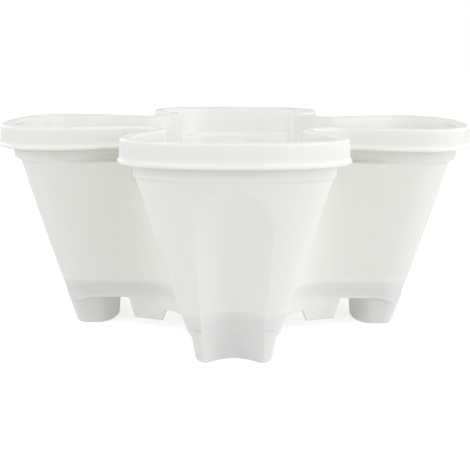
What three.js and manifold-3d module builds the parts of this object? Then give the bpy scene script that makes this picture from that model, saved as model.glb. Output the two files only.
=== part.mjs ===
// Strawberry planter: one tier of a stacking tower. A thin-walled pot with four lobes, one for
// each plant, and a loose perforated grid that keeps the soil above the water in its base.
// Millimetres, +Z up. The origin is on the ground below the middle of the pot.

import * as THREE from 'three';
import { mergeVertices } from 'three/addons/utils/BufferGeometryUtils.js';
import Module from 'manifold-3d';

const wasm = await Module();
wasm.setup();

// Heights, from the ground up
const footHeight = 22.5;
const wallHeight = 103;
const neckHeight = 10;
const bandHeight = 15.5;

// Thicknesses of the moulding
const wallThickness = 2.2;
const floorThickness = 2.5;

// Outline of one lobe: how far it reaches from the middle, how long its nose is from there back
// to where the lobe is widest, how wide and how square the nose is, how near the middle the
// saddle between two lobes lies, and how hard the flank is drawn along the lobe and along the
// saddle. One outline for the rim, one for the shoulder below the neck and one for the wall's
// foot at the floor
const rimOutline = {
  reach: 172.6, nose: 39.6, halfWidth: 71.3, squareness: 2.35, saddle: 87.8,
  flankPull: 46.6, saddlePull: 32.1,
};
const shoulderOutline = {
  reach: 159.7, nose: 32.7, halfWidth: 62.6, squareness: 2.2, saddle: 78,
  flankPull: 44, saddlePull: 28,
};
const baseOutline = {
  reach: 127.2, nose: 27.2, halfWidth: 32.4, squareness: 3.4, saddle: 65.8,
  flankPull: 30, saddlePull: 13,
};

// Rim: a band that hangs outside the neck, with a bead along its lower edge
const lipWidth = 7.5;
const lipEdge = 1.6;
const bandFlare = 0.5;
const beadHeight = 3.5;
const beadProud = 1.3;
const beadEdge = 0.7;
const neckInset = 8;
const neckFlare = 2.2;
const neckNoseSetBack = 1.4;
const shoulderDrop = 1.8;

// Flute up the nose of each lobe, with a round head below the shoulder. On either side the wall
// keeps a plain width between the flute and the lobe's widest place
const fluteHeadBelowShoulder = 3;
const fluteHeadHeight = 30;
const flutePlainHigh = 36.6;
const flutePlainLow = 11.4;
const fluteDepthHigh = 9;
const fluteDepthLow = 12.5;
const fluteSoftness = 1.3;

// Feet: hollow cups below the floor. Their lengths run inwards from the wall's foot, to where a
// foot is widest and to its back
const footNoseInset = 0.2;
const footSideInset = 3.2;
const footTaper = 3.9;
const footLength = 38.9;
const footBackTaper = 1.6;
const footNose = 23.2;
const footSquareness = 4.6;
const footEdgeRadius = 2.5;
const smallestEdge = 0.6;

// Skirt below the floor. On the nose it hangs lower over the last stretch up to the wall's foot
const skirtDepth = 7.6;
const tabDepth = 17;
const tabInnerReach = 50.5;
const tabInnerLean = 5.9;
const tabOuterReach = 78.5;
const tabOuterLean = 5.5;
const noseSkirtDepth = 6.3;
const noseSkirtLength = 21.2;

// Overflow spout in the middle of the floor
const spoutOuterRadius = 12;
const spoutBore = 8.5;
const spoutHeight = 7.5;

// Soil grid, on legs above the water
const waterDepth = 8.5;
const gridThickness = 2.5;
const gridClearance = 1.2;
const gridHoleRadius = 3;
const gridHolePitch = 15;
const gridEdgeMargin = 6;
const gridLegRadius = 4;
const gridLegReaches = [37.5, 82.5];
const gridLegMargin = 1;
const seatGap = 0.3;

// How finely round shapes are drawn, and how far a cut or a joined piece runs past its partner
const spoutSides = 24;
const legSides = 12;
const holeSides = 6;
const overrun = 1;
const outlineSteps = { flute: 4, nose: 4, flank: 5, footBack: 6 };
const wallSteps = [0.3, 0.65];
const fluteHeadSteps = [0, 0.3, 0.55, 0.75, 0.9, 1];

// Levels worked out from the heights
const shoulderZ = footHeight + wallHeight;
const bandBottomZ = shoulderZ + neckHeight;
const rimZ = bandBottomZ + bandHeight;
const floorTopZ = footHeight + floorThickness;
const fluteTopZ = shoulderZ - fluteHeadBelowShoulder;
const fluteHeadZ = fluteTopZ - fluteHeadHeight;
const gridBottomZ = floorTopZ + waterDepth;
const gridTopZ = gridBottomZ + gridThickness;

const lobeCount = 4;
const quarterTurn = Math.PI / 2;

// Where the middle of a quarter round lies, as a share of its radius from either side
const roundMiddle = 1 - Math.SQRT1_2;

// Least cosine of half the turn at a ring's corner, so that no corner runs far out when it moves
const tightestCorner = 0.5;

function mix(a, b, t) {
  return a + (b - a) * t;
}

function mixOutline(a, b, t) {
  const mixed = {};
  for (const key of Object.keys(a)) mixed[key] = mix(a[key], b[key], t);
  return mixed;
}

// Outline of the tapered wall at a height, which runs on below the floor as the skirt
function wallOutline(z) {
  return mixOutline(shoulderOutline, baseOutline, (shoulderZ - z) / wallHeight);
}

// Depth of the flute at a distance across the lobe and a height. Below the floor it stays the same
function fluteDepth(across, z, halfWidth) {
  const fall = THREE.MathUtils.clamp((fluteHeadZ - z) / (fluteHeadZ - footHeight), 0, 1);
  const deepest = mix(fluteDepthHigh, fluteDepthLow, fall);
  const rise = Math.max(0, z - fluteHeadZ) / fluteHeadHeight;
  const distance = Math.hypot(across / halfWidth, rise);
  return distance < 1 ? deepest * (1 - distance ** 2) ** fluteSoftness : 0;
}

function fluteHalfWidth(z) {
  const drop = (shoulderZ - z) / wallHeight;
  return wallOutline(z).halfWidth - mix(flutePlainHigh, flutePlainLow, drop);
}

// Points round half of a lobe's nose, from its middle to where the lobe is widest
function halfNose({ reach, nose, halfWidth, squareness }, z, fluted) {
  const points = [];
  const widestAt = reach - nose;
  const fluteEdge = fluteHalfWidth(z);
  const alongAt = (across) => {
    const side = (across / halfWidth) ** squareness;
    return widestAt + nose * (1 - side) ** (1 / squareness);
  };
  for (let i = 0; i <= outlineSteps.flute; i++) {
    const across = (fluteEdge * i) / outlineSteps.flute;
    const cut = fluted ? fluteDepth(across, z, fluteEdge) : 0;
    points.push(new THREE.Vector2(alongAt(across) - cut, across));
  }
  const startAngle = Math.asin((fluteEdge / halfWidth) ** (squareness / 2));
  for (let i = 1; i <= outlineSteps.nose; i++) {
    const angle = mix(startAngle, quarterTurn, i / outlineSteps.nose);
    const across = halfWidth * Math.sin(angle) ** (2 / squareness);
    const along = widestAt + nose * Math.max(0, Math.cos(angle)) ** (2 / squareness);
    points.push(new THREE.Vector2(along, across));
  }
  return points;
}

// Points of half a lobe, from the middle of its nose to the saddle
function halfLobe(outline, z, fluted) {
  const { reach, nose, halfWidth, saddle, flankPull, saddlePull } = outline;
  const widestAt = reach - nose;
  const points = halfNose(outline, z, fluted);
  const corner = saddle * Math.SQRT1_2;
  const lean = saddlePull * Math.SQRT1_2;
  const flank = new THREE.CubicBezierCurve(
    new THREE.Vector2(widestAt, halfWidth),
    new THREE.Vector2(widestAt - flankPull, halfWidth),
    new THREE.Vector2(corner + lean, corner - lean),
    new THREE.Vector2(corner, corner),
  );
  for (let i = 1; i <= outlineSteps.flank; i++) points.push(flank.getPoint(i / outlineSteps.flank));
  return points;
}

// Closed ring of points, anticlockwise seen from above
function ring(outline, z, fluted = false) {
  const half = halfLobe(outline, z, fluted);
  const mirrored = half.slice(1, -1).reverse().map((p) => new THREE.Vector2(p.x, -p.y));
  const points = [];
  for (let lobe = 0; lobe < lobeCount; lobe++) {
    const middle = new THREE.Vector2();
    for (const p of half) points.push(p.clone().rotateAround(middle, lobe * quarterTurn));
    for (const p of mirrored) points.push(p.clone().rotateAround(middle, (lobe + 1) * quarterTurn));
  }
  return points;
}

// Ring moved inwards (or outwards, where the distance is negative) by the same distance all round
function inset(points, distance) {
  const count = points.length;
  return points.map((p, i) => {
    const before = p.clone().sub(points[(i + count - 1) % count]).normalize();
    const after = points[(i + 1) % count].clone().sub(p).normalize();
    const along = before.clone().add(after).normalize();
    const spread = Math.max(tightestCorner, along.dot(after));
    return new THREE.Vector2(p.x - (along.y * distance) / spread, p.y + (along.x * distance) / spread);
  });
}

// Closed body through a list of rings, each { z, points }, capped at both ends
function loft(rings) {
  const count = rings[0].points.length;
  const positions = [];
  for (const { z, points } of rings) for (const p of points) positions.push(p.x, p.y, z);
  const index = [];
  for (let r = 0; r < rings.length - 1; r++) {
    for (let i = 0; i < count; i++) {
      const a = r * count + i;
      const b = r * count + ((i + 1) % count);
      index.push(a, b, b + count, a, b + count, a + count);
    }
  }
  const last = (rings.length - 1) * count;
  for (const [a, b, c] of THREE.ShapeUtils.triangulateShape(rings[0].points, [])) index.push(a, c, b);
  for (const [a, b, c] of THREE.ShapeUtils.triangulateShape(rings.at(-1).points, [])) {
    index.push(last + a, last + b, last + c);
  }
  const geometry = new THREE.BufferGeometry();
  geometry.setAttribute('position', new THREE.Float32BufferAttribute(positions, 3));
  geometry.setIndex(index);
  return geometry;
}

function toSolid(geometry) {
  const bare = geometry.clone();
  bare.deleteAttribute('normal');
  bare.deleteAttribute('uv');
  const merged = mergeVertices(bare, 1e-4);
  return new wasm.Manifold(new wasm.Mesh({
    numProp: 3,
    vertProperties: new Float32Array(merged.attributes.position.array),
    triVerts: new Uint32Array(merged.index.array),
  }));
}

function toGeometry(solid) {
  const mesh = solid.getMesh();
  const geometry = new THREE.BufferGeometry();
  geometry.setAttribute('position', new THREE.BufferAttribute(new Float32Array(mesh.vertProperties), 3));
  geometry.setIndex(new THREE.BufferAttribute(new Uint32Array(mesh.triVerts), 1));
  return geometry;
}

// Upright cylinder between two heights
function post(radius, bottom, top, x, y, sides) {
  const geometry = new THREE.CylinderGeometry(radius, radius, top - bottom, sides);
  geometry.rotateX(quarterTurn);
  geometry.translate(x, y, (top + bottom) / 2);
  return toSolid(geometry);
}

function wallRing(z, inwards = 0) {
  const points = ring(wallOutline(z), z, true);
  return { z, points: inwards ? inset(points, inwards) : points };
}

function rimRing(z, inwards) {
  return { z, points: inset(ring(rimOutline, rimZ), inwards) };
}

// The neck follows the rim, with a shorter nose
function neckRing(z, inwards) {
  const { reach, nose } = rimOutline;
  const outline = { ...rimOutline, reach: reach - neckNoseSetBack, nose: nose - neckNoseSetBack };
  return { z, points: inset(ring(outline, rimZ), inwards) };
}

// Heights of the rings up the wall: close together where the flute's head curves
function wallLevels() {
  return [
    ...wallSteps.map((t) => mix(floorTopZ, fluteHeadZ, t)),
    ...fluteHeadSteps.map((t) => mix(fluteHeadZ, fluteTopZ, t)),
  ];
}

// Wall, neck and rim as one lofted shell, from the middle of the floor's underside, down inside
// the skirt, up the outside, over the rim and down the inside to the floor's top
function potShell() {
  const skirtZ = footHeight - tabDepth;
  const neckTopZ = rimZ - wallThickness;
  const levels = wallLevels();
  const shoulderTopZ = shoulderZ + shoulderDrop;
  const beadReach = -bandFlare - beadProud;
  return loft([
    wallRing(footHeight, wallThickness),
    wallRing(skirtZ, wallThickness),
    wallRing(skirtZ),
    wallRing(footHeight),
    ...levels.map((z) => wallRing(z)),
    wallRing(shoulderZ),
    neckRing(shoulderTopZ, neckInset),
    neckRing(neckTopZ, neckInset - neckFlare),
    rimRing(neckTopZ, wallThickness),
    rimRing(bandBottomZ, wallThickness - bandFlare),
    rimRing(bandBottomZ, beadReach + beadEdge),
    rimRing(bandBottomZ + beadEdge, beadReach),
    rimRing(bandBottomZ + beadHeight - beadEdge, beadReach),
    rimRing(bandBottomZ + beadHeight, -bandFlare),
    rimRing(rimZ - lipEdge, 0),
    rimRing(rimZ - lipEdge * roundMiddle, lipEdge * roundMiddle),
    rimRing(rimZ, lipEdge),
    neckRing(rimZ, lipWidth - lipEdge),
    neckRing(rimZ - lipEdge, lipWidth),
    neckRing(shoulderTopZ, neckInset + wallThickness),
    wallRing(shoulderZ, wallThickness),
    ...levels.toReversed().map((z) => wallRing(z, wallThickness)),
    wallRing(floorTopZ, wallThickness),
  ]);
}

// Ring round one foot, on the lobe along +X, at a height above the ground
function footRing(z, inwards) {
  const drop = 1 - z / footHeight;
  const reach = wallOutline(z).reach - footNoseInset;
  const widestAt = baseOutline.reach - footNose;
  const backReach = baseOutline.reach - footLength + footBackTaper * drop;
  const outline = {
    reach,
    nose: reach - widestAt,
    halfWidth: baseOutline.halfWidth - footSideInset - footTaper * drop,
    squareness: footSquareness,
  };
  const points = halfNose(outline, z, true);
  for (let i = 1; i <= outlineSteps.footBack; i++) {
    const angle = (quarterTurn * i) / outlineSteps.footBack;
    const along = mix(widestAt, backReach, Math.sin(angle));
    points.push(new THREE.Vector2(along, outline.halfWidth * Math.cos(angle)));
  }
  const mirrored = points.slice(1, -1).reverse().map((p) => new THREE.Vector2(p.x, -p.y));
  return { z, points: inset([...points, ...mirrored], inwards) };
}

// Solid foot, drawn in all round by a distance. Its lower edge is rounded: the last rings are
// drawn towards the middle of the foot's widest line
function footBody(inwards, bottom, top) {
  const edge = Math.max(footEdgeRadius - inwards, smallestEdge);
  const middle = new THREE.Vector2(baseOutline.reach - footNose, 0);
  const rounded = (rise, drawn) => {
    const { z, points } = footRing(bottom + rise, inwards);
    const share = drawn / baseOutline.halfWidth;
    return { z, points: points.map((p) => p.clone().lerp(middle, share)) };
  };
  return toSolid(loft([
    rounded(0, edge),
    rounded(edge * roundMiddle, edge * roundMiddle),
    rounded(edge, 0),
    footRing(top, inwards),
  ]));
}

// Turn about the pot's middle that brings what is built on the lobe along +X to another lobe
function lobeTurn(lobe) {
  return [0, 0, (lobe * 360) / lobeCount];
}

// Solid with an outline drawn along the lobe and up, and a width across the lobe
function crossCut(outline, width) {
  const geometry = new THREE.ExtrudeGeometry(new THREE.Shape(outline), { depth: width, bevelEnabled: false });
  geometry.translate(0, 0, -width / 2);
  geometry.rotateX(quarterTurn);
  return toSolid(geometry);
}

// What is cut from the skirt on one lobe: the window round its foot, and all that hangs below the
// plain skirt nearer the middle than its tabs, or than the window where the lobe has no tabs. The
// second cut stays narrow, so that it doesn't reach the tabs of the lobes beside it
function skirtCuts(hasTabs) {
  const below = -overrun;
  const far = shoulderOutline.reach;
  const skirtZ = footHeight - skirtDepth;
  const noseZ = footHeight - noseSkirtDepth;
  const window = crossCut([
    new THREE.Vector2(tabOuterReach, footHeight),
    new THREE.Vector2(baseOutline.reach - noseSkirtLength, footHeight),
    new THREE.Vector2(baseOutline.reach, noseZ),
    new THREE.Vector2(far, noseZ),
    new THREE.Vector2(far, below),
    new THREE.Vector2(tabOuterReach - tabOuterLean, below),
  ], 2 * shoulderOutline.halfWidth);
  const gapReach = hasTabs ? tabInnerReach : tabOuterReach;
  const gap = crossCut([
    new THREE.Vector2(0, skirtZ),
    new THREE.Vector2(gapReach, skirtZ),
    new THREE.Vector2(gapReach + tabInnerLean, below),
    new THREE.Vector2(0, below),
  ], 2 * tabInnerReach);
  return window.add(gap);
}

function makePot() {
  const spoutTopZ = floorTopZ + spoutHeight;
  let pot = toSolid(potShell());
  for (let lobe = 0; lobe < lobeCount; lobe++) {
    pot = pot.subtract(skirtCuts(lobe % 2 === 0).rotate(lobeTurn(lobe)));
  }
  for (let lobe = 0; lobe < lobeCount; lobe++) {
    pot = pot.add(footBody(0, 0, footHeight + overrun).rotate(lobeTurn(lobe)));
  }
  for (let lobe = 0; lobe < lobeCount; lobe++) {
    const hollow = footBody(wallThickness, wallThickness, floorTopZ + overrun);
    pot = pot.subtract(hollow.rotate(lobeTurn(lobe)));
  }
  pot = pot.add(post(spoutOuterRadius, footHeight + overrun, spoutTopZ, 0, 0, spoutSides));
  pot = pot.subtract(post(spoutBore, footHeight - overrun, spoutTopZ + overrun, 0, 0, spoutSides));
  return toGeometry(pot);
}

// Whether a point lies within a ring and further from its edge than a margin
function inside(points, point, margin) {
  let odd = false;
  let nearest = Infinity;
  const onEdge = new THREE.Vector3();
  for (let i = 0; i < points.length; i++) {
    const a = points[i];
    const b = points[(i + 1) % points.length];
    const crosses = (a.y > point.y) !== (b.y > point.y);
    if (crosses && point.x < mix(a.x, b.x, (point.y - a.y) / (b.y - a.y))) odd = !odd;
    const side = new THREE.Line3(new THREE.Vector3(a.x, a.y), new THREE.Vector3(b.x, b.y));
    side.closestPointToPoint(new THREE.Vector3(point.x, point.y), true, onEdge);
    nearest = Math.min(nearest, Math.hypot(onEdge.x - point.x, onEdge.y - point.y));
  }
  return odd && nearest > margin;
}

// Middles of the grid's legs, a row along each lobe
function legPlaces() {
  const places = [];
  for (let lobe = 0; lobe < lobeCount; lobe++) {
    const middle = new THREE.Vector2();
    for (const reach of gridLegReaches) {
      places.push(new THREE.Vector2(reach, 0).rotateAround(middle, lobe * quarterTurn));
    }
  }
  return places;
}

// Middles of the grid's holes: staggered rows, kept off the grid's edge and its legs
function holePlaces(edge, legs) {
  const legDistance = gridLegRadius + gridHoleRadius + gridLegMargin;
  const rowHeight = gridHolePitch * Math.sin(Math.PI / 3);
  const rows = Math.ceil(baseOutline.reach / rowHeight);
  const places = [];
  for (let row = -rows; row <= rows; row++) {
    const shift = row % 2 === 0 ? 0 : gridHolePitch / 2;
    for (let column = -rows; column <= rows; column++) {
      const place = new THREE.Vector2(column * gridHolePitch + shift, row * rowHeight);
      const clearOfLegs = legs.every((leg) => leg.distanceTo(place) > legDistance);
      if (clearOfLegs && inside(edge, place, gridEdgeMargin)) places.push(place);
    }
  }
  return places;
}

// Flat perforated plate that follows the wall with a clearance, and its legs
function makeGrid() {
  const edge = inset(ring(wallOutline(gridBottomZ), gridBottomZ, true), wallThickness + gridClearance);
  const plate = toSolid(loft([{ z: gridBottomZ, points: edge }, { z: gridTopZ, points: edge }]));
  const legs = legPlaces();
  const holes = holePlaces(edge, legs).map(({ x, y }) => {
    return post(gridHoleRadius, gridBottomZ - overrun, gridTopZ + overrun, x, y, holeSides);
  });
  const feet = legs.map(({ x, y }) => {
    return post(gridLegRadius, floorTopZ + seatGap, gridBottomZ + overrun, x, y, legSides);
  });
  return toGeometry(plate.subtract(wasm.Manifold.union(holes)).add(wasm.Manifold.union(feet)));
}

const planter = new THREE.Group();

const potMaterial = new THREE.MeshStandardMaterial({ color: 0xe6e7e2, roughness: 0.42, metalness: 0 });
const pot = new THREE.Mesh(makePot(), potMaterial);
pot.name = 'pot_shell';
planter.add(pot);

const gridMaterial = new THREE.MeshStandardMaterial({ color: 0xdfe0db, roughness: 0.5, metalness: 0 });
const grid = new THREE.Mesh(makeGrid(), gridMaterial);
grid.name = 'soil_grid';
planter.add(grid);

export default planter;
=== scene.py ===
import math

import bmesh
import bpy
import numpy as np
from mathutils import Matrix, Vector


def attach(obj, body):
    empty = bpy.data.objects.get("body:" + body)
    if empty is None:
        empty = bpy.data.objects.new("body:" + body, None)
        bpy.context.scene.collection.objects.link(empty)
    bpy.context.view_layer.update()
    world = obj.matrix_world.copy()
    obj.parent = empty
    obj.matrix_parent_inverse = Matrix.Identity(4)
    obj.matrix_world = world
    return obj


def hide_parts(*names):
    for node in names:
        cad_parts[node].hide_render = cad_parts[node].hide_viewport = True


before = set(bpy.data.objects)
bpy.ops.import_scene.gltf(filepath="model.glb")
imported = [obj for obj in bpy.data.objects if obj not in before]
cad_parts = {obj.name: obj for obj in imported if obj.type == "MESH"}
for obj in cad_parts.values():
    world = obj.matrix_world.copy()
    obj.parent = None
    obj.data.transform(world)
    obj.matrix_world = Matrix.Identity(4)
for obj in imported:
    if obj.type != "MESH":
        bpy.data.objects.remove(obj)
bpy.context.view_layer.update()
mm = 0.001


# The camera
# It stands a little above the rim, almost three quarters of a metre in front of the pot's middle,
# and looks slightly down. The small shift and turns frame the pot as the photograph does. Lengths
# are in millimetres, angles in radians, and the lens is given in pixels of the picture.
rim_height = 151
camera_distance = 732.4
camera_above_rim = 56.2
camera_pitch = 0.1532
camera_turn = 0.00235
camera_roll = 0.00427
sensor_width = 36
picture_pixels = 470
focal_pixels = 968.2
shift_pixels = -40

lens = bpy.data.cameras.new("camera")
lens.sensor_width = sensor_width
lens.lens = focal_pixels / picture_pixels * sensor_width
lens.shift_y = shift_pixels / picture_pixels
camera = bpy.data.objects.new("camera", lens)
bpy.context.scene.collection.objects.link(camera)
camera.matrix_world = (
    Matrix.Rotation(camera_turn, 4, "Z")
    @ Matrix.Translation((0, -camera_distance * mm, (rim_height + camera_above_rim) * mm))
    @ Matrix.Rotation(math.pi / 2 - camera_pitch, 4, "X")
    @ Matrix.Rotation(camera_roll, 4, "Z")
)
bpy.context.scene.camera = camera


# The pot
# One thin-walled injection moulding in white polypropylene: rim, neck, four fluted lobes, floor,
# skirt with four tabs, four hollow feet and an overflow spout. All its sizes are in millimetres.
floor_under = 22.5
floor_top = 25
shoulder = 125.5
band_bottom = 135.5
wall = 2.2
lobes = 4

# Outline of one lobe: how far it reaches from the middle, how far out and how wide its widest place
# is, how square its nose is, where the saddle beside the next lobe lies, and how strongly the flank
# is drawn along the lobe and along the saddle
rim_outline = dict(reach=172.6, widest=133, half=71.3, square=2.35, saddle=87.8, flank=46.6, pull=32.1)
shoulder_outline = dict(reach=159.7, widest=127, half=62.6, square=2.2, saddle=78, flank=44, pull=28)
base_outline = dict(reach=127.2, widest=100, half=32.4, square=3.4, saddle=65.8, flank=30, pull=13)
neck_set_back = 1.4
neck_outline = dict(rim_outline, reach=rim_outline["reach"] - neck_set_back)

# Flute up the nose of each lobe. Towards the floor it gets narrower and deeper, and its edges softer
flute_top = shoulder - 3
flute_head = 30
flute_head_base = flute_top - flute_head
flute_half_top = 26
flute_narrowing = 5
flute_depth_top = 9
flute_deepening = 3.5
flute_softness_top = 0.035
flute_softening = 0.115
flute_steps = 16
nose_steps = 12


def wall_outline(z):
    """Outline of one lobe of the tapered wall at a height."""
    share = (shoulder - z) / (shoulder - floor_under)
    outline = {}
    for name, low in base_outline.items():
        high = shoulder_outline[name]
        outline[name] = high + (low - high) * share
    return outline


def flute_half_width(z):
    return flute_half_top - flute_narrowing * (shoulder - z) / (shoulder - floor_under)


def flute_depth(across, z):
    """How far the flute lies behind the nose, at places across it and at a height."""
    fall = min(max((flute_head_base - z) / (flute_head_base - floor_under), 0), 1)
    rise = max(0, z - flute_head_base) / flute_head
    room = np.clip(1 - np.hypot(across / flute_half_width(z), rise) ** 2, 0, 1)
    softness = flute_softness_top + flute_softening * fall
    deepest = flute_depth_top + flute_deepening * fall
    return deepest * (1 + softness) * room**2 / (room + softness)


def nose_points(outline, z, fluted):
    """Half of a lobe's nose, from its middle to where the lobe is widest."""
    reach, widest, half, square = (outline[name] for name in ("reach", "widest", "half", "square"))
    edge = flute_half_width(z)
    across = np.linspace(0, edge, flute_steps + 1)
    along = widest + (reach - widest) * (1 - (across / half) ** square) ** (1 / square)
    if fluted:
        along = along - flute_depth(across, z)
    start = math.asin((edge / half) ** (square / 2))
    angle = np.linspace(start, math.pi / 2, nose_steps + 1)[1:]
    side = half * np.sin(angle) ** (2 / square)
    front = widest + (reach - widest) * np.clip(np.cos(angle), 0, 1) ** (2 / square)
    return np.r_[np.c_[along, across], np.c_[front, side]]


def flank_points(outline, shares):
    """The lobe's side, from where it is widest to the saddle beside the next lobe."""
    diagonal = math.sqrt(0.5)
    corner = outline["saddle"] * diagonal
    lean = outline["pull"] * diagonal
    start = np.array((outline["widest"], outline["half"]))
    start_pull = np.array((outline["widest"] - outline["flank"], outline["half"]))
    end_pull = np.array((corner + lean, corner - lean))
    end = np.array((corner, corner))
    t = np.asarray(shares)[:, None]
    near_start = (1 - t) ** 3 * start + 3 * (1 - t) ** 2 * t * start_pull
    return near_start + 3 * (1 - t) * t * t * end_pull + t**3 * end


def turned(points, quarters):
    angle = quarters * math.pi / 2
    cosine, sine = math.cos(angle), math.sin(angle)
    return points @ np.array(((cosine, sine), (-sine, cosine)))


def all_round(half_lobe):
    """Repeats the points of half a lobe round the pot: each lobe, then the mirrored half of the next."""
    parts = []
    for lobe in range(lobes):
        parts.append(turned(half_lobe, lobe))
        parts.append(turned(half_lobe[1:-1][::-1] * (1, -1), lobe + 1))
    return np.vstack(parts)


def drawn_in(points, distance, least_cosine=0.5):
    """A ring moved inwards by the same distance all round."""
    before = points - np.roll(points, 1, 0)
    after = np.roll(points, -1, 0) - points
    before /= np.linalg.norm(before, axis=1)[:, None]
    after /= np.linalg.norm(after, axis=1)[:, None]
    along = before + after
    along /= np.linalg.norm(along, axis=1)[:, None]
    spread = np.maximum(least_cosine, (along * after).sum(1))[:, None]
    return points + np.c_[-along[:, 1], along[:, 0]] * distance / spread


def shrunk(ring, share, middle=(0, 0)):
    """A ring drawn towards a point by a share of its size."""
    out = ring.copy()
    out[:, :2] -= (ring[:, :2] - middle) * share
    return out


def arc(start, corner, end, steps):
    """Points that round a corner off, from a place before it to a place after it."""
    places = np.linspace(0, 1, steps + 1)
    return [(1 - t) ** 2 * start + 2 * t * (1 - t) * corner + t * t * end for t in places]


# An arc takes up less than half of the run on either side of its corner
arc_share = 0.45


def eased(line, radius, steps):
    """A line of straight runs with each bend drawn as an arc."""
    line = np.array(line, float)
    out = [line[0]]
    for before, here, after in zip(line, line[1:], line[2:]):
        back, on = before - here, after - here
        far_back, far_on = np.linalg.norm(back), np.linalg.norm(on)
        start = here + back / far_back * min(radius, arc_share * far_back)
        end = here + on / far_on * min(radius, arc_share * far_on)
        out += arc(start, here, end, steps)
    return np.array(out + [line[-1]])


def filled_in(line, longest):
    """The same line with points added, so that no run is longer than that."""
    out = [line[0]]
    for here, after in zip(line, line[1:]):
        count = max(1, math.ceil(np.linalg.norm(after - here) / longest))
        out += [here + (after - here) * step / count for step in range(1, count + 1)]
    return np.array(out)


# Lower edge of the skirt along one flank, as distances from the pot's middle and heights: with a
# tab on the two side lobes, and plain on the front and back ones
skirt_edge = 14.9
tab_edge = 5.5
window_edge = floor_under - 0.5
tab_lobes = (0, 2)
skirt_start = 46
tab_slope_start = 50.5
tab_start = 54
tab_end = 74.5
plain_end = 76.7
window_start = 78.5
window_end = 100
tab_line = [
    (skirt_start, skirt_edge),
    (tab_slope_start, skirt_edge),
    (tab_start, tab_edge),
    (tab_end, tab_edge),
    (window_start, window_edge),
    (window_end, window_edge),
]
plain_line = [
    (skirt_start, skirt_edge),
    (plain_end, skirt_edge),
    (window_start, window_edge),
    (window_end, window_edge),
]
edge_radius = 1.1
edge_steps = 4
tab_spacing = 3.2
plain_spacing = 0.3
flank_steps = 2000

shares = np.linspace(0, 1, flank_steps + 1)
floor_flank = flank_points(wall_outline(floor_under), shares)[:, 0]
low_flank = flank_points(wall_outline(tab_edge), shares)[:, 0]


def flank_shares(line):
    """Where on the flank each point of a lower edge lies."""
    found = []
    for along, z in line:
        drop = (floor_under - z) / (floor_under - tab_edge)
        reach = floor_flank + (low_flank - floor_flank) * drop
        found.append(np.interp(-along, -reach, shares))
    return np.array(found)


# Places round the flank, the same on every lobe and at every height: one for each point of the
# tab's edge, and each at least a small step after the one before
least_share = 1e-4
least_step = 0.0018
tab_points = filled_in(eased(tab_line, edge_radius, edge_steps), tab_spacing)[::-1]
tab_shares = flank_shares(tab_points)
on_flank = (tab_shares > least_share) & (tab_shares < 1 - least_share)
tab_points, tab_shares = tab_points[on_flank], tab_shares[on_flank]
flank_places = [tab_shares[0]]
for share in tab_shares[1:]:
    flank_places.append(max(share, flank_places[-1] + least_step))
flank_places = np.append(flank_places, 1)
tab_heights = np.append(tab_points[:, 1], skirt_edge)
plain_points = filled_in(eased(plain_line, edge_radius, edge_steps), plain_spacing)[::-1]
plain_heights = np.interp(flank_places, flank_shares(plain_points), plain_points[:, 1])

# On the nose the edge hangs lower, the more the further out it lies
nose_drop = 6.3
nose_drop_start = 106
nose_reach = nose_points(base_outline, floor_under, True)[:, 0]
drop_share = (nose_reach - nose_drop_start) / (base_outline["reach"] - nose_drop_start)
nose_heights = window_edge - nose_drop * np.clip(drop_share, 0, 1)


def ring_heights():
    """Height of the skirt's lower edge at each place round the pot."""
    parts = []
    for lobe in range(lobes):
        for owner, flip in ((lobe, False), ((lobe + 1) % lobes, True)):
            flank = tab_heights if owner in tab_lobes else plain_heights
            half = np.r_[nose_heights, flank]
            parts.append(half[1:-1][::-1] if flip else half)
    return np.concatenate(parts)


def wall_ring(z, inwards=0):
    """Ring round the tapered, fluted wall at a height. Below the floor it runs on as the skirt."""
    outline = wall_outline(z)
    points = all_round(np.r_[nose_points(outline, z, True), flank_points(outline, flank_places)])
    if inwards:
        points = drawn_in(points, inwards)
    return np.c_[points, np.full(len(points), float(z))]


def rim_ring(z, inwards, outline=rim_outline):
    """Ring that follows the rim, or the neck, at a height."""
    points = all_round(np.r_[nose_points(outline, rim_height, False), flank_points(outline, flank_places)])
    return np.c_[drawn_in(points, inwards), np.full(len(points), float(z))]


def skirt_ring(height, inwards=0):
    """Points on the skirt at the heights given for each place round the pot."""
    drop = ((floor_under - height) / (floor_under - tab_edge))[:, None]
    top, low = wall_ring(floor_under, inwards), wall_ring(tab_edge, inwards)
    return np.c_[(top + (low - top) * drop)[:, :2], height]


def rounded_section(rows, cuts, steps):
    """Rows of points, one for each place of the section, with each bend drawn as an arc."""
    out = []
    for i, row in enumerate(rows):
        if not cuts[i]:
            out.append(row)
            continue
        back, on = rows[i - 1] - row, rows[i + 1] - row
        far_back = np.linalg.norm(back, axis=1)[:, None]
        far_on = np.linalg.norm(on, axis=1)[:, None]
        start = row + back * np.minimum(cuts[i] / far_back, arc_share)
        end = row + on * np.minimum(cuts[i] / far_on, arc_share)
        out += arc(start, row, end, steps[i])
    return out


def closed_shell(name, rows):
    """A closed mesh through rings of points, capped at both ends. Millimetres in, metres out."""
    count, levels = len(rows[0]), len(rows)
    points = np.concatenate(rows) * mm
    faces = [tuple(range(count - 1, -1, -1))]
    for level in range(levels - 1):
        low, high = level * count, (level + 1) * count
        faces += [(low + i, low + (i + 1) % count, high + (i + 1) % count, high + i) for i in range(count)]
    faces.append(tuple(range((levels - 1) * count, levels * count)))
    mesh = bpy.data.meshes.new(name)
    mesh.from_pydata(points.tolist(), [], faces)
    shape = bmesh.new()
    shape.from_mesh(mesh)
    caps = [face for face in shape.faces if len(face.verts) > 4]
    bmesh.ops.triangulate(shape, faces=caps, ngon_method="EAR_CLIP")
    shape.to_mesh(mesh)
    shape.free()
    piece = bpy.data.objects.new(name, mesh)
    bpy.context.scene.collection.objects.link(piece)
    return piece


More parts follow.
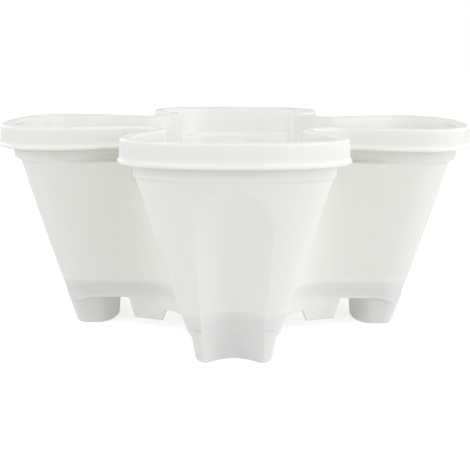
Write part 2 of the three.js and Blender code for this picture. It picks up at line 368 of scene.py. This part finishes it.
# Heights on the section
wall_start = floor_under + 0.8
core_wall_end = floor_top + 2.5
neck_foot = shoulder + 1.8
core_foot = shoulder + 6
bead_middle = band_bottom + 1.9
bead_top = band_bottom + 3.6
neck_middle = 140
rim_bend = rim_height - 6
rim_under = rim_height - wall

# How far its places lie inside the outline that they follow, or for an overhang, outside it
neck_foot_inset = 8
neck_middle_inset = 7
neck_top_inset = 5.8
band_inset = 1.7
bead_bottom_overhang = 1.4
bead_middle_overhang = 1.8
bead_top_overhang = 0.5
band_overhang = 0.25
rim_flat_inset = 3.6
core_rim_inset = 7.5
core_bend_inset = 8.1
core_foot_inset = 9.9

# Rows of points between the bends: on the skirt at these shares of its height, and so many on the
# wall, below the flute's head and beside it
skirt_rows = (0.35, 0.7)
low_rows = 14
head_rows = 18
core_low_rows = 13
core_head_rows = 14

# The section starts and ends on the floor, in from the wall by these shares of the floor's size
share_under_floor = 0.03
share_on_floor = 0.04

section = []


def bend(row, cut=0.0, steps=0):
    """One place of the section, how far from it the arc of its bend starts, and the arc's steps."""
    section.append((row, cut, steps))


# From the floor's underside down inside the skirt, and up the outside to the shoulder
lower_edge = ring_heights()
bend(shrunk(wall_ring(floor_under, wall), share_under_floor))
bend(wall_ring(floor_under, wall), cut=0.8, steps=3)
bend(skirt_ring(lower_edge, wall), cut=0.5, steps=3)
bend(skirt_ring(lower_edge), cut=0.55, steps=4)
for share in skirt_rows:
    bend(skirt_ring(lower_edge + (floor_under - lower_edge) * share))
for z in np.linspace(wall_start, flute_head_base, low_rows):
    bend(wall_ring(z))
for z in np.linspace(flute_head_base, flute_top, head_rows + 1)[1:]:
    bend(wall_ring(z))
bend(wall_ring(shoulder), cut=1.3, steps=4)

# Up the neck, under the rim, down inside the band, round the bead and over the rim
bend(rim_ring(neck_foot, neck_foot_inset, neck_outline), cut=1.6, steps=4)
bend(rim_ring(neck_middle, neck_middle_inset, neck_outline))
bend(rim_ring(rim_under, neck_top_inset, neck_outline), cut=1.5, steps=3)
bend(rim_ring(rim_under, wall), cut=1.5, steps=3)
bend(rim_ring(band_bottom, band_inset), cut=0.5, steps=3)
bend(rim_ring(band_bottom, -bead_bottom_overhang), cut=0.9, steps=4)
bend(rim_ring(bead_middle, -bead_middle_overhang), cut=0.9, steps=4)
bend(rim_ring(bead_top, -bead_top_overhang), cut=1.1, steps=4)
bend(rim_ring(rim_bend, -band_overhang))
bend(rim_ring(rim_height, 0), cut=2.2, steps=6)
bend(rim_ring(rim_height, rim_flat_inset))
bend(rim_ring(rim_height, core_rim_inset, neck_outline), cut=1.9, steps=6)

# Down the core side, which is the inside of the neck and the wall, to the floor
core_bend = len(section)
bend(rim_ring(rim_bend, core_bend_inset, neck_outline))
bend(rim_ring(core_foot, core_foot_inset, neck_outline))
bend(rim_ring(neck_foot, neck_foot_inset + wall, neck_outline), cut=1.4, steps=4)
bend(wall_ring(shoulder, wall), cut=1.2, steps=4)
for z in np.linspace(flute_head_base, flute_top, core_head_rows + 1)[1:][::-1]:
    bend(wall_ring(z, wall))
for z in np.linspace(core_wall_end, flute_head_base, core_low_rows)[::-1]:
    bend(wall_ring(z, wall))
bend(wall_ring(floor_top, wall), cut=1.4, steps=4)
bend(shrunk(wall_ring(floor_top, wall), share_on_floor))

rows = rounded_section(*zip(*section))
pot = closed_shell("pot", rows)

# Faces of the core side take the second material
core_row = sum(steps + 1 if cut else 1 for _, cut, steps in section[:core_bend])
for face in pot.data.polygons:
    face.material_index = int(min(face.vertices) >= (core_row - 1) * len(rows[0]))

# Feet: hollow cups below the floor, whose nose follows the wall
foot_half = 29.2
foot_narrowing = 3.9
foot_set_back = 0.2
foot_widest = 104
foot_square = 4.6
foot_depth = 15.7
foot_shortening = 1.6
foot_back_steps = 18
foot_edge = 2.5
hollow_edge = 0.8
cup_edge_rows = 8
cup_wall_rows = 6
overlap = 1


def foot_points(z, inwards):
    """Plan of one foot, on the lobe along +X: its nose follows the wall, its back is round."""
    drop = 1 - z / floor_under
    half = foot_half - foot_narrowing * drop
    reach = wall_outline(z)["reach"] - foot_set_back
    nose = nose_points(dict(reach=reach, widest=foot_widest, half=half, square=foot_square), z, True)
    depth = foot_depth - foot_shortening * drop
    angle = np.linspace(0, math.pi / 2, foot_back_steps + 1)[1:]
    back = np.c_[foot_widest - depth * np.sin(angle), half * np.cos(angle)]
    side = np.r_[nose, back]
    ring = np.r_[side, side[1:-1][::-1] * (1, -1)]
    return np.c_[drawn_in(ring, inwards), np.full(len(ring), float(z))]


def cup(name, inwards, bottom, top, edge):
    """A foot or its hollow, as a solid with its lower edge rounded."""
    rows = []
    for angle in np.linspace(0, math.pi / 2, cup_edge_rows):
        ring = foot_points(bottom + edge * (1 - math.cos(angle)), inwards)
        rows.append(shrunk(ring, edge * (1 - math.sin(angle)) / base_outline["half"], (foot_widest, 0)))
    for z in np.linspace(bottom + edge, top, cup_wall_rows)[1:]:
        rows.append(foot_points(z, inwards))
    return closed_shell(name, rows)


def turned_post(name, profile, sides=64):
    """A round post from a list of radii and heights, closed at both ends."""
    angle = np.linspace(0, 2 * math.pi, sides, endpoint=False)
    rows = [np.c_[r * np.cos(angle), r * np.sin(angle), np.full(sides, float(z))] for r, z in profile]
    return closed_shell(name, rows)


def combine(base, tool, operation):
    """Joins the tool to the base or cuts it away, and removes the tool."""
    step = base.modifiers.new("combine", "BOOLEAN")
    step.operation = operation
    step.solver = "MANIFOLD"
    step.object = tool
    made = bpy.data.meshes.new_from_object(base.evaluated_get(bpy.context.evaluated_depsgraph_get()))
    base.modifiers.clear()
    old = base.data
    base.data = made
    bpy.data.meshes.remove(old)
    bpy.data.objects.remove(tool)


def quarter_turn(piece, lobe):
    piece.data.transform(Matrix.Rotation(lobe * math.pi / 2, 4, "Z"))
    return piece


for lobe in range(lobes):
    foot = cup("foot", 0, 0, floor_under + overlap, foot_edge)
    combine(pot, quarter_turn(foot, lobe), "UNION")
for lobe in range(lobes):
    hollow = cup("hollow", wall, wall, floor_top + overlap, hollow_edge)
    combine(pot, quarter_turn(hollow, lobe), "DIFFERENCE")

# Overflow spout in the middle of the floor: a short tube that widens at its foot. Its top edge is
# rounded, and so are both ends of its bore
spout_top = 32.5
spout_radius = 12
bore_radius = 8.5
bore_mouth = bore_radius + 0.9
spout_profile = [
    (spout_radius + 0.6, floor_top - 1.4),
    (spout_radius, floor_top + 0.6),
    (spout_radius, spout_top - 0.8),
    (spout_radius - 0.2, spout_top - 0.25),
    (spout_radius - 0.7, spout_top),
    (spout_radius - 2, spout_top),
]
bore_profile = [
    (bore_mouth, floor_under - 1),
    (bore_mouth, floor_under - 0.1),
    (bore_radius + 0.3, floor_under + 0.25),
    (bore_radius, floor_under + 0.8),
    (bore_radius, spout_top - 0.9),
    (bore_radius + 0.2, spout_top - 0.35),
    (bore_radius + 0.7, spout_top),
    (bore_mouth, spout_top + 0.2),
    (bore_mouth, spout_top + 1.5),
]
combine(pot, turned_post("spout", spout_profile), "UNION")
combine(pot, turned_post("bore", bore_profile), "DIFFERENCE")


def smooth_shaded(mesh, sharpest=math.radians(32)):
    """Smooth faces, with the edges that turn harder than that kept crisp."""
    shape = bmesh.new()
    shape.from_mesh(mesh)
    many_sided = [face for face in shape.faces if len(face.verts) > 4]
    bmesh.ops.triangulate(shape, faces=many_sided, ngon_method="EAR_CLIP")
    for face in shape.faces:
        face.smooth = True
    for edge in shape.edges:
        edge.smooth = not edge.is_manifold or edge.calc_face_angle(0) < sharpest
    shape.to_mesh(mesh)
    shape.free()


smooth_shaded(pot.data)
pot.data.name = "pot"

# The pot's polypropylene: milky white, faintly uneven as it cooled, with a satin skin. A thin line
# at the height of the soil grid's top is a little lighter: painted light, for light seen through the
# wall at the grid's edge. The core side, within the wall, is glossier and lets less light through,
# and it is a little lighter above the grid than below it: painted light, for the light that falls in
# at the open top
grid_top = 36
tone_height = 50
line_start = grid_top - 1.5
line_peak = grid_top + 0.75
line_end = grid_top + 4
plain_white = (242, 242, 237)
# Painted light: this lighter white at the grid's top stands for light seen through the wall there
grid_line_painted_light = (246, 246, 241)
core_low_white = (242, 242, 235)
# Painted light: the core side above the grid is lighter, for the light that falls in at the open top
core_painted_light_white = (252, 252, 245)
plastic_ior = 1.49
cloud_scale = 28
gloss_scale = 60
gloss_spread = 0.12
ripple_scale = 900
ripple_depth = 0.05


def colour(r, g, b):
    """A colour from its screen values, 0 to 255, as the shader takes it."""
    out = []
    for value in (r, g, b):
        value /= 255
        out.append(value / 12.92 if value <= 0.04045 else ((value + 0.055) / 1.055) ** 2.4)
    return (*out, 1)


def set_inputs(node, values):
    """Gives a node's inputs their values, by name or number, and gives the node back."""
    for socket, value in values.items():
        node.inputs[socket].default_value = value
    return node


def moulded_skin():
    """Shared effect: cooling clouds in the colour, uneven gloss and the skin's fine ripple."""
    group = bpy.data.node_groups.new("moulded skin", "ShaderNodeTree")
    for socket, kind, value in (
        ("Colour", "NodeSocketColor", (0.8, 0.8, 0.8, 1)),
        ("Cloud", "NodeSocketFloat", 0.02),
        ("Gloss", "NodeSocketFloat", 0.4),
        ("Ripple", "NodeSocketFloat", 0.02),
    ):
        group.interface.new_socket(socket, in_out="INPUT", socket_type=kind).default_value = value
    for socket, kind in (
        ("Colour", "NodeSocketColor"),
        ("Roughness", "NodeSocketFloat"),
        ("Normal", "NodeSocketVector"),
    ):
        group.interface.new_socket(socket, in_out="OUTPUT", socket_type=kind)
    link = group.links.new
    given = group.nodes.new("NodeGroupInput").outputs
    out = group.nodes.new("NodeGroupOutput").inputs
    place = group.nodes.new("ShaderNodeTexCoord").outputs["Object"]

    def noise(scale, detail):
        node = set_inputs(group.nodes.new("ShaderNodeTexNoise"), {"Scale": scale, "Detail": detail})
        link(place, node.inputs["Vector"])
        return node.outputs["Fac"]

    shade = group.nodes.new("ShaderNodeMath")
    shade.operation = "SUBTRACT"
    set_inputs(shade, {1: 0.5})
    link(noise(cloud_scale, detail=4), shade.inputs[0])
    lift = group.nodes.new("ShaderNodeMath")
    lift.operation = "MULTIPLY_ADD"
    set_inputs(lift, {2: 1})
    link(shade.outputs[0], lift.inputs[0])
    link(given["Cloud"], lift.inputs[1])
    tint = group.nodes.new("ShaderNodeVectorMath")
    tint.operation = "SCALE"
    link(given["Colour"], tint.inputs[0])
    link(lift.outputs[0], tint.inputs["Scale"])
    link(tint.outputs[0], out["Colour"])

    gloss = group.nodes.new("ShaderNodeMath")
    gloss.operation = "MULTIPLY_ADD"
    set_inputs(gloss, {1: gloss_spread})
    link(noise(gloss_scale, detail=3), gloss.inputs[0])
    link(given["Gloss"], gloss.inputs[2])
    link(gloss.outputs[0], out["Roughness"])

    skin = set_inputs(group.nodes.new("ShaderNodeBump"), {"Distance": ripple_depth * mm})
    link(given["Ripple"], skin.inputs["Strength"])
    link(noise(ripple_scale, detail=2), skin.inputs["Height"])
    link(skin.outputs[0], out["Normal"])
    return group


skin_effect = moulded_skin()


def skinned(material, shader_values, skin_values):
    """Sets the material's shader and puts the shared skin before it. Gives back both nodes."""
    material.use_nodes = True
    tree = material.node_tree
    shader = set_inputs(tree.nodes["Principled BSDF"], shader_values)
    skin = tree.nodes.new("ShaderNodeGroup")
    skin.node_tree = skin_effect
    set_inputs(skin, skin_values)
    for socket, target in (("Colour", "Base Color"), ("Roughness", "Roughness"), ("Normal", "Normal")):
        tree.links.new(skin.outputs[socket], shader.inputs[target])
    return shader, skin


pot_white = bpy.data.materials.new("milky polypropylene")
shader, skin = skinned(
    pot_white,
    {
        "IOR": plastic_ior,
        "Specular IOR Level": 0.35,
        "Subsurface Weight": 1,
        "Subsurface Radius": (1.0, 0.95, 0.85),
        "Subsurface Scale": 4 * mm,
    },
    {"Cloud": 0.02, "Gloss": 0.34, "Ripple": 0.12},
)
tree = pot_white.node_tree
place = tree.nodes.new("ShaderNodeTexCoord")
height = tree.nodes.new("ShaderNodeSeparateXYZ")
tree.links.new(place.outputs["Object"], height.inputs[0])
level = set_inputs(tree.nodes.new("ShaderNodeMapRange"), {"From Min": 0, "From Max": tone_height * mm})
tree.links.new(height.outputs["Z"], level.inputs["Value"])
bands = tree.nodes.new("ShaderNodeValToRGB")
tones = bands.color_ramp.elements
tones[0].position = 0
tones[1].position = line_end / tone_height
tones.new(line_start / tone_height)
tones.new(line_peak / tone_height)
# The lighter line at the grid's top is painted light, for light seen through the wall there
for element, tone in zip(tones, (plain_white, plain_white, grid_line_painted_light, plain_white)):
    element.color = colour(*tone)
tree.links.new(level.outputs[0], bands.inputs[0])
tree.links.new(bands.outputs["Color"], skin.inputs["Colour"])

core_white = pot_white.copy()
core_white.name = "milky polypropylene, core side"
core_nodes = core_white.node_tree.nodes
set_inputs(core_nodes[shader.name], {"Specular IOR Level": 0.5, "Subsurface Scale": 1.8 * mm})
set_inputs(core_nodes[skin.name], {"Gloss": 0.14})
core_tones = core_nodes[bands.name].color_ramp.elements
# Painted light: the core side turns lighter above the grid's top, for the light that falls in at the open
# top
for element, tone in zip(core_tones, (core_low_white, core_low_white, core_painted_light_white, core_painted_light_white)):
    element.color = colour(*tone)

# The two places are filled by number, because clearing them first would lose which faces use which
while len(pot.data.materials) < 2:
    pot.data.materials.append(None)
pot.data.materials[0] = pot_white
pot.data.materials[1] = core_white
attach(pot, "pot")
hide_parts("pot_shell")


# The soil grid
# A loose perforated plate of the same plastic, left matt. It follows the wall inside the lobes,
# stands on eight short legs above the water, and lifts straight out. All its sizes are in
# millimetres.
grid_under = 33.5
grid_gap = 3.4
gap_tolerance = 0.004
grid_rounding = 0.6
rounding_reach = 80
rounding_rows = 9
hole_pitch = 15
hole_radius = 3
hole_rows = 21
hole_sides = 20
score_merge = 1e-4
leg_reaches = (37.5, 82.5)
leg_radius = 4
leg_sides = 32
leg_foot = floor_top + 0.3

wall_line = wall_ring(grid_under)[:, :2]
wall_runs = np.roll(wall_line, -1, 0) - wall_line


def from_wall(point):
    """Distance of a point of the plate's edge from the pot's outline."""
    share = np.clip(((point - wall_line) * wall_runs).sum(1) / (wall_runs**2).sum(1), 0, 1)
    return np.linalg.norm(wall_line + wall_runs * share[:, None] - point, axis=1).min()


# The plate's edge keeps its gap from the wall, and points that come nearer to it are left out. The
# edge is rounded by shrinking its ring at the top and bottom, by grid_rounding at rounding_reach
# from the middle
plate_edge = wall_ring(grid_under, grid_gap)
plate_edge = plate_edge[[from_wall(point[:2]) > grid_gap - gap_tolerance for point in plate_edge]]
straight_height = grid_top - grid_under - 2 * grid_rounding
plate_rows = []
for angle in np.linspace(0, math.pi, rounding_rows):
    ring = shrunk(plate_edge, grid_rounding * (1 - math.sin(angle)) / rounding_reach)
    lift = max(0, angle / math.pi - 0.5) * 2 * straight_height
    ring[:, 2] = grid_under + grid_rounding * (1 - math.cos(angle)) + lift
    plate_rows.append(ring)
soil_grid = closed_shell("grid", plate_rows)

# The flat faces are scored through the middles of the holes to come, so that no face has a hole in it
shape = bmesh.new()
shape.from_mesh(soil_grid.data)
for normal, step in (((1, 0, 0), hole_pitch / 2), ((0, 1, 0), hole_pitch * math.sin(math.pi / 3))):
    reach = math.floor(base_outline["reach"] / step)
    for line in range(-reach, reach + 1):
        everything = shape.verts[:] + shape.edges[:] + shape.faces[:]
        bmesh.ops.bisect_plane(
            shape,
            geom=everything,
            dist=score_merge * mm,
            plane_co=Vector(normal) * line * step * mm,
            plane_no=normal,
        )
shape.to_mesh(soil_grid.data)
shape.free()

# One tree of Geometry Nodes makes the holes and the legs. Its sizes are its inputs
tree = bpy.data.node_groups.new("perforated plate", "GeometryNodeTree")
tree.interface.new_socket("Geometry", in_out="INPUT", socket_type="NodeSocketGeometry")
for size, value in (
    ("Pitch", hole_pitch),
    ("Hole radius", hole_radius),
    ("Chamfer", 0.5),
    ("Edge margin", 6),
    ("Leg margin", 8),
    ("Underside", grid_under),
    ("Top", grid_top),
    ("Leg radius", leg_radius),
    ("Leg foot", leg_foot),
    ("Leg overlap", overlap),
    ("Inner leg", leg_reaches[0]),
    ("Outer leg", leg_reaches[1]),
):
    socket = tree.interface.new_socket(size, in_out="INPUT", socket_type="NodeSocketFloat")
    socket.default_value = value * mm
tree.interface.new_socket("Material", in_out="INPUT", socket_type="NodeSocketMaterial")
tree.interface.new_socket("Geometry", in_out="OUTPUT", socket_type="NodeSocketGeometry")
given = tree.nodes.new("NodeGroupInput").outputs
result = tree.nodes.new("NodeGroupOutput")


def grid_node(kind, links=(), **settings):
    """One node of the plate's tree: its settings, then what feeds it, by input name or number."""
    node = tree.nodes.new(kind)
    for name, value in settings.items():
        setattr(node, name, value)
    for socket, source in links:
        if isinstance(source, bpy.types.NodeSocket):
            tree.links.new(source, node.inputs[socket])
        else:
            node.inputs[socket].default_value = source
    return node


def worked_out(operation, *values):
    return grid_node("ShaderNodeMath", enumerate(values), operation=operation).outputs[0]


def vector(**parts):
    """A vector with the parts X, Y and Z that are given, and nothing in the others."""
    return grid_node("ShaderNodeCombineXYZ", parts.items()).outputs[0]


def moved(geometry, offset):
    return grid_node("GeometryNodeSetPosition", [("Geometry", geometry), ("Offset", offset)]).outputs[0]


def without(geometry, chosen, domain):
    links = [("Geometry", geometry), ("Selection", chosen)]
    return grid_node("GeometryNodeDeleteGeometry", links, domain=domain).outputs[0]


def copies(points, thing, turn=(0, 0, 0)):
    """The thing at every point, as one real geometry."""
    links = [("Points", points), ("Instance", thing), ("Rotation", turn)]
    placed = grid_node("GeometryNodeInstanceOnPoints", links).outputs[0]
    return grid_node("GeometryNodeRealizeInstances", [(0, placed)]).outputs[0]


def nearness(geometry, element):
    """Distance from each point to the nearest such element."""
    links = [("Geometry", geometry)]
    return grid_node("GeometryNodeProximity", links, target_element=element).outputs["Distance"]


def cylinder(sides, radius, depth):
    links = [("Vertices", sides), ("Radius", radius), ("Depth", depth)]
    return grid_node("GeometryNodeMeshCylinder", links).outputs["Mesh"]


# Staggered rows of points at the plate's top, with every other row moved by half the pitch
row_height = worked_out("MULTIPLY", given["Pitch"], math.sin(math.pi / 3))
net = grid_node("GeometryNodeMeshGrid", [
    ("Size X", worked_out("MULTIPLY", given["Pitch"], hole_rows - 1)),
    ("Size Y", worked_out("MULTIPLY", row_height, hole_rows - 1)),
    ("Vertices X", hole_rows),
    ("Vertices Y", hole_rows),
]).outputs["Mesh"]
place = grid_node("GeometryNodeInputPosition").outputs[0]
across = grid_node("ShaderNodeSeparateXYZ", [(0, place)]).outputs["Y"]
row = worked_out("ROUND", worked_out("DIVIDE", across, row_height))
odd = worked_out("ABSOLUTE", worked_out("MODULO", row, 2))
shift = worked_out("MULTIPLY", worked_out("MULTIPLY", odd, given["Pitch"]), 0.5)
hole_net = moved(net, vector(X=shift, Z=given["Top"]))

# The legs' places, two along each lobe
leg_line = grid_node("GeometryNodeMeshLine", [
    ("Count", len(leg_reaches)),
    ("Start Location", vector(X=given["Inner leg"])),
    ("Offset", vector(X=given["Outer leg"])),
], mode="END_POINTS").outputs[0]
lobe_turns = grid_node("GeometryNodeMeshLine", [("Count", lobes), ("Offset", (0, 0, 0))]).outputs[0]
turn = worked_out("MULTIPLY", grid_node("GeometryNodeInputIndex").outputs[0], math.pi / 2)
leg_points = copies(lobe_turns, leg_line, vector(Z=turn))

# A hole is kept where it lies on the plate, clear of the plate's edge and of the legs
least_level = 0.5
ray_lift = 10
ray_length = 100
to_leg = nearness(moved(leg_points, vector(Z=given["Top"])), "POINTS")
normal = grid_node("GeometryNodeInputNormal").outputs[0]
upward = grid_node("ShaderNodeSeparateXYZ", [(0, normal)]).outputs["Z"]
level_face = worked_out("GREATER_THAN", worked_out("ABSOLUTE", upward), least_level)
to_edge = nearness(without(given["Geometry"], level_face, "FACE"), "FACES")
lift = (0, 0, ray_lift * mm)
above = grid_node("ShaderNodeVectorMath", [(0, place), (1, lift)], operation="ADD").outputs[0]
on_plate = grid_node("GeometryNodeRaycast", [
    ("Target Geometry", given["Geometry"]),
    ("Source Position", above),
    ("Ray Direction", (0, 0, -1)),
    ("Ray Length", ray_length * mm),
]).outputs["Is Hit"]
inside = worked_out("MULTIPLY", on_plate, worked_out("GREATER_THAN", to_edge, given["Edge margin"]))
kept = worked_out("MULTIPLY", inside, worked_out("GREATER_THAN", to_leg, given["Leg margin"]))
hole_points = without(hole_net, worked_out("SUBTRACT", 1, kept), "POINT")

# Each hole is drilled through, and a cone round the plate's top widens it by the chamfer there
thickness = worked_out("SUBTRACT", given["Top"], given["Underside"])
drill = cylinder(hole_sides, given["Hole radius"], worked_out("MULTIPLY", thickness, 3))
cone_height = worked_out("MULTIPLY", given["Chamfer"], 2)
cone = grid_node("GeometryNodeMeshCone", [
    ("Vertices", hole_sides),
    ("Radius Top", worked_out("ADD", given["Hole radius"], cone_height)),
    ("Radius Bottom", given["Hole radius"]),
    ("Depth", cone_height),
]).outputs["Mesh"]


def bored(mesh, tool, raise_by):
    """The mesh with the tool cut out of it at every hole."""
    tools = copies(moved(hole_points, vector(Z=raise_by)), tool)
    links = [("Mesh 1", mesh), ("Mesh 2", tools)]
    cut = grid_node("GeometryNodeMeshBoolean", links, operation="DIFFERENCE", solver="MANIFOLD")
    return cut.outputs["Mesh"]


plate = bored(given["Geometry"], drill, worked_out("MULTIPLY", thickness, -0.5))
plate = bored(plate, cone, 0)

# The legs reach a little way into the plate and are joined to it
leg_top = worked_out("ADD", given["Underside"], given["Leg overlap"])
leg_height = worked_out("SUBTRACT", leg_top, given["Leg foot"])
leg = cylinder(leg_sides, given["Leg radius"], leg_height)
leg_middle = worked_out("MULTIPLY_ADD", leg_height, 0.5, given["Leg foot"])
legs = copies(moved(leg_points, vector(Z=leg_middle)), leg)
whole = grid_node("GeometryNodeMeshBoolean", operation="UNION", solver="MANIFOLD")
tree.links.new(plate, whole.inputs["Mesh 2"])
tree.links.new(legs, whole.inputs["Mesh 2"])
real = grid_node("GeometryNodeRealizeInstances", [(0, whole.outputs["Mesh"])]).outputs[0]
coated = grid_node("GeometryNodeSetMaterial", [("Geometry", real), ("Material", given["Material"])])
tree.links.new(coated.outputs[0], result.inputs[0])

grid_white = bpy.data.materials.new("matt polypropylene")
skinned(
    grid_white,
    {"IOR": plastic_ior},
    {"Colour": colour(244, 244, 239), "Cloud": 0.04, "Gloss": 0.48, "Ripple": 0.5},
)

maker = soil_grid.modifiers.new("perforate", "NODES")
maker.node_group = tree
for item in tree.interface.items_tree:
    if item.item_type == "SOCKET" and item.in_out == "INPUT" and item.name == "Material":
        maker[item.identifier] = grid_white
made = bpy.data.meshes.new_from_object(soil_grid.evaluated_get(bpy.context.evaluated_depsgraph_get()))
soil_grid.modifiers.clear()
soil_grid.data = made
smooth_shaded(soil_grid.data)
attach(soil_grid, "grid")
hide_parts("soil_grid")


# The studio
# A white table, and eleven soft square lamps round and above the pot. The table shows white to the
# camera and keeps a faint shadow of the pot. The room shows white to the camera and in reflections,
# and gives no light of its own. Sizes here are in metres.
table_half = 6
paper_tone = 0.55
glow_on_things = 0.33
near_glow = 0.66
far_glow = 1.05
near_distance = 0.4
far_distance = 1.6
pot_middle = Vector((0, 0, 0.08))

table = bpy.data.meshes.new("table")
corners = [(-1, -1), (1, -1), (1, 1), (-1, 1)]
table.from_pydata([(x * table_half, y * table_half, 0) for x, y in corners], [], [(0, 1, 2, 3)])
table = bpy.data.objects.new("table", table)
bpy.context.scene.collection.objects.link(table)

# The camera sees the paper glow, a little more the further it lies from the pot, and other things
# get less of that glow
paper = bpy.data.materials.new("white paper")
paper.use_nodes = True
nodes, links = paper.node_tree.nodes, paper.node_tree.links
shader = set_inputs(nodes["Principled BSDF"], {
    "Base Color": (paper_tone, paper_tone, paper_tone, 1),
    "Roughness": 0.9,
    "Specular IOR Level": 0,
})
seen = nodes.new("ShaderNodeLightPath")
shine = set_inputs(nodes.new("ShaderNodeMapRange"), {"To Min": glow_on_things})
links.new(seen.outputs["Is Camera Ray"], shine.inputs["Value"])
place = nodes.new("ShaderNodeTexCoord")
distance = nodes.new("ShaderNodeVectorMath")
distance.operation = "LENGTH"
links.new(place.outputs["Object"], distance.inputs[0])
far = set_inputs(nodes.new("ShaderNodeMapRange"), {
    "From Min": near_distance,
    "From Max": far_distance,
    "To Min": near_glow,
    "To Max": far_glow,
})
links.new(distance.outputs["Value"], far.inputs["Value"])
links.new(far.outputs[0], shine.inputs["To Max"])
glow = nodes.new("ShaderNodeEmission")
links.new(shine.outputs[0], glow.inputs["Strength"])
both = nodes.new("ShaderNodeAddShader")
links.new(shader.outputs[0], both.inputs[0])
links.new(glow.outputs[0], both.inputs[1])
links.new(both.outputs[0], nodes["Material Output"].inputs["Surface"])
table.data.materials.append(paper)

room = bpy.data.worlds.new("room")
bpy.context.scene.world = room
room.use_nodes = True
nodes, links = room.node_tree.nodes, room.node_tree.links
ambient = set_inputs(nodes["Background"], {"Color": (1, 1, 1, 1), "Strength": 0})
backdrop = set_inputs(nodes.new("ShaderNodeBackground"), {"Color": (1, 1, 1, 1)})
seen = nodes.new("ShaderNodeLightPath")
seen_white = seen.outputs["Is Camera Ray"]
for ray in ("Is Glossy Ray", "Is Transmission Ray"):
    either = nodes.new("ShaderNodeMath")
    either.operation = "MAXIMUM"
    links.new(seen_white, either.inputs[0])
    links.new(seen.outputs[ray], either.inputs[1])
    seen_white = either.outputs[0]
choose = nodes.new("ShaderNodeMixShader")
links.new(seen_white, choose.inputs["Fac"])
links.new(ambient.outputs[0], choose.inputs[1])
links.new(backdrop.outputs[0], choose.inputs[2])
links.new(choose.outputs[0], nodes["World Output"].inputs["Surface"])

# Each lamp's name, place, width and power in watts. All of them point at the pot's middle
for name, place, size, power in (
    ("left light", (-1.35, -1.2, 1.0), 1.2, 9.4),
    ("right light", (1.35, -1.2, 1.0), 1.2, 8),
    ("left back light", (-1.4, 1.2, 0.9), 1.2, 10.3),
    ("right back light", (1.4, 1.2, 0.9), 1.2, 8.7),
    ("low left light", (-1.8, -0.3, 0.3), 1.0, 3.8),
    ("low right light", (1.8, -0.3, 0.3), 1.0, 8),
    ("front left light", (-1.2, -1.7, 0.4), 1.0, 2.3),
    ("front right light", (1.2, -1.7, 0.4), 1.0, 6),
    ("high front light", (0, -0.9, 1.7), 1.2, 4.2),
    ("high left light", (-1.0, -0.4, 1.6), 1.2, 6.2),
    ("high right light", (1.0, -0.4, 1.6), 1.2, 7.6),
):
    lamp = bpy.data.lights.new(name, "AREA")
    lamp.shape = "SQUARE"
    lamp.size = size
    lamp.energy = power
    light = bpy.data.objects.new(name, lamp)
    bpy.context.scene.collection.objects.link(light)
    light.location = place
    light.rotation_euler = (pot_middle - Vector(place)).to_track_quat("-Z", "Y").to_euler()

bpy.context.scene.view_settings.view_transform = "Standard"
